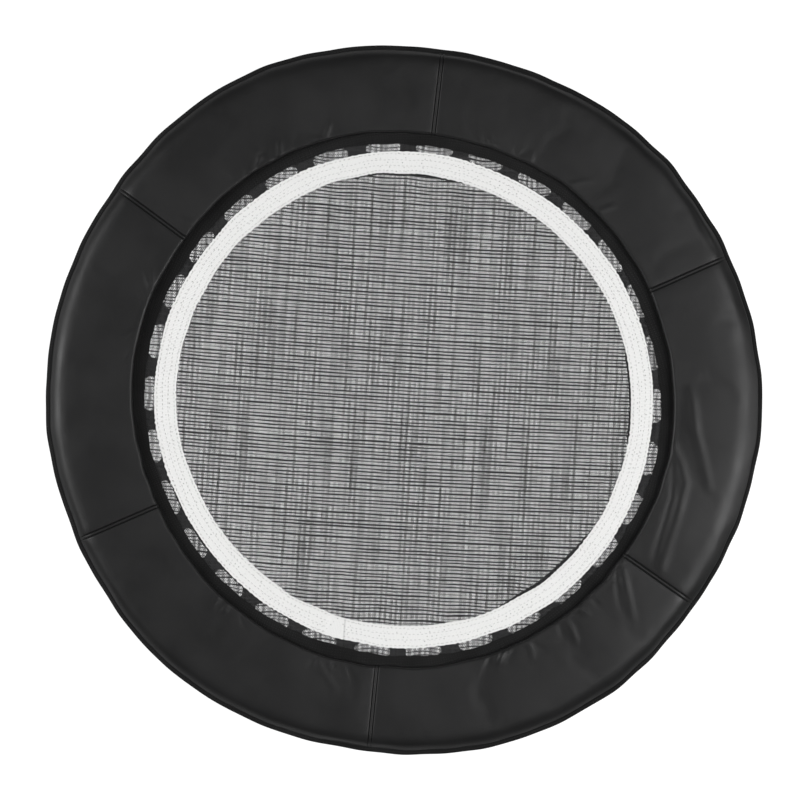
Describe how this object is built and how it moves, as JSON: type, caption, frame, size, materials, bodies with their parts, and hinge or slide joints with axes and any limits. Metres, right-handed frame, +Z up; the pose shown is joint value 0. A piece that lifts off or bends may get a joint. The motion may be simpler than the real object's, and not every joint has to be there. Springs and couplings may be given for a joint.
{
  "type": "mini trampoline",
  "caption": "Round mini trampoline: a woven mat hung on coil springs in a steel tube ring, with a padded vinyl ring over the springs and screw-in legs.",
  "frame": {"origin": "on the floor, under the middle of the mat", "axes": "+Z up, square to the mat; +X towards the picture's right and +Y towards its top"},
  "size_m": [0.929, 0.9254, 0.2216],
  "materials": {
    "powder_coat": "satin",
    "zinc_wire": "satin",
    "mesh_cloth": "matte",
    "white_webbing": "matte",
    "black_webbing": "matte",
    "vinyl": "satin",
    "foam": "matte",
    "lining_cloth": "matte",
    "black_plastic": "satin",
    "rubber": "matte"
  },
  "bodies": {
    "frame": {"frame_ring": "powder_coat", "spring_01": "zinc_wire", "spring_02": "zinc_wire", "spring_03": "zinc_wire", "spring_04": "zinc_wire", "spring_05": "zinc_wire", "spring_06": "zinc_wire", "spring_07": "zinc_wire", "spring_08": "zinc_wire", "spring_09": "zinc_wire", "spring_10": "zinc_wire", "spring_11": "zinc_wire", "spring_12": "zinc_wire", "spring_13": "zinc_wire", "spring_14": "zinc_wire", "spring_15": "zinc_wire", "spring_16": "zinc_wire", "spring_17": "zinc_wire", "spring_18": "zinc_wire", "spring_19": "zinc_wire", "spring_20": "zinc_wire", "spring_21": "zinc_wire", "spring_22": "zinc_wire", "spring_23": "zinc_wire", "spring_24": "zinc_wire", "spring_25": "zinc_wire", "spring_26": "zinc_wire", "spring_27": "zinc_wire", "spring_28": "zinc_wire", "spring_29": "zinc_wire", "spring_30": "zinc_wire", "pad_cover": "vinyl", "pad_foam": "foam", "pad_lining": "lining_cloth", "pad_outer_binding": "black_webbing", "pad_inner_skirt": "black_webbing"},
    "mat": {"jump_mat": "mesh_cloth", "mat_edge_band": "white_webbing", "mat_tab_ring": "black_webbing"},
    "leg_saddle_1": {"leg_saddle_1": "black_plastic"},
    "leg_1": {"leg_1": "powder_coat", "foot_1": "rubber"},
    "leg_saddle_2": {"leg_saddle_2": "black_plastic"},
    "leg_2": {"leg_2": "powder_coat", "foot_2": "rubber"},
    "leg_saddle_3": {"leg_saddle_3": "black_plastic"},
    "leg_3": {"leg_3": "powder_coat", "foot_3": "rubber"},
    "leg_saddle_4": {"leg_saddle_4": "black_plastic"},
    "leg_4": {"leg_4": "powder_coat", "foot_4": "rubber"},
    "leg_saddle_5": {"leg_saddle_5": "black_plastic"},
    "leg_5": {"leg_5": "powder_coat", "foot_5": "rubber"},
    "leg_saddle_6": {"leg_saddle_6": "black_plastic"},
    "leg_6": {"leg_6": "powder_coat", "foot_6": "rubber"}
  },
  "joints": [
    {"name": "mat_bounce", "type": "slide", "parent": "frame", "child": "mat", "axis": [0, 0, -1], "range_m": [0, 0.07], "stiffness_N_per_m": 20000, "deforming": ["spring_01", "spring_02", "spring_03", "spring_04", "spring_05", "spring_06", "spring_07", "spring_08", "spring_09", "spring_10", "spring_11", "spring_12", "spring_13", "spring_14", "spring_15", "spring_16", "spring_17", "spring_18", "spring_19", "spring_20", "spring_21", "spring_22", "spring_23", "spring_24", "spring_25", "spring_26", "spring_27", "spring_28", "spring_29", "spring_30"]},
    {"name": "leg_1_lower", "type": "slide", "parent": "frame", "child": "leg_saddle_1", "axis": [0, 0, -1], "range_m": [0, 0.021]},
    {"name": "leg_1_unscrew", "type": "hinge", "parent": "leg_saddle_1", "child": "leg_1", "pos_m": [0.22893, 0.38101, 0.1], "axis": [0, 0, -1], "range_deg": [0, 5050]},
    {"name": "leg_2_lower", "type": "slide", "parent": "frame", "child": "leg_saddle_2", "axis": [0, 0, -1], "range_m": [0, 0.021]},
    {"name": "leg_2_unscrew", "type": "hinge", "parent": "leg_saddle_2", "child": "leg_2", "pos_m": [-0.2155, 0.38877, 0.1], "axis": [0, 0, -1], "range_deg": [0, 5050]},
    {"name": "leg_3_lower", "type": "slide", "parent": "frame", "child": "leg_saddle_3", "axis": [0, 0, -1], "range_m": [0, 0.021]},
    {"name": "leg_3_unscrew", "type": "hinge", "parent": "leg_saddle_3", "child": "leg_3", "pos_m": [-0.44443, 0.00776, 0.1], "axis": [0, 0, -1], "range_deg": [0, 5050]},
    {"name": "leg_4_lower", "type": "slide", "parent": "frame", "child": "leg_saddle_4", "axis": [0, 0, -1], "range_m": [0, 0.021]},
    {"name": "leg_4_unscrew", "type": "hinge", "parent": "leg_saddle_4", "child": "leg_4", "pos_m": [-0.22893, -0.38101, 0.1], "axis": [0, 0, -1], "range_deg": [0, 5050]},
    {"name": "leg_5_lower", "type": "slide", "parent": "frame", "child": "leg_saddle_5", "axis": [0, 0, -1], "range_m": [0, 0.021]},
    {"name": "leg_5_unscrew", "type": "hinge", "parent": "leg_saddle_5", "child": "leg_5", "pos_m": [0.2155, -0.38877, 0.1], "axis": [0, 0, -1], "range_deg": [0, 5050]},
    {"name": "leg_6_lower", "type": "slide", "parent": "frame", "child": "leg_saddle_6", "axis": [0, 0, -1], "range_m": [0, 0.021]},
    {"name": "leg_6_unscrew", "type": "hinge", "parent": "leg_saddle_6", "child": "leg_6", "pos_m": [0.44443, -0.00776, 0.1], "axis": [0, 0, -1], "range_deg": [0, 5050]}
  ],
  "couplings": [
    {"joint": "leg_1_unscrew", "follows": "leg_1_lower", "rad_per_m": 4188.8},
    {"joint": "leg_2_unscrew", "follows": "leg_2_lower", "rad_per_m": 4188.8},
    {"joint": "leg_3_unscrew", "follows": "leg_3_lower", "rad_per_m": 4188.8},
    {"joint": "leg_4_unscrew", "follows": "leg_4_lower", "rad_per_m": 4188.8},
    {"joint": "leg_5_unscrew", "follows": "leg_5_lower", "rad_per_m": 4188.8},
    {"joint": "leg_6_unscrew", "follows": "leg_6_lower", "rad_per_m": 4188.8}
  ]
}
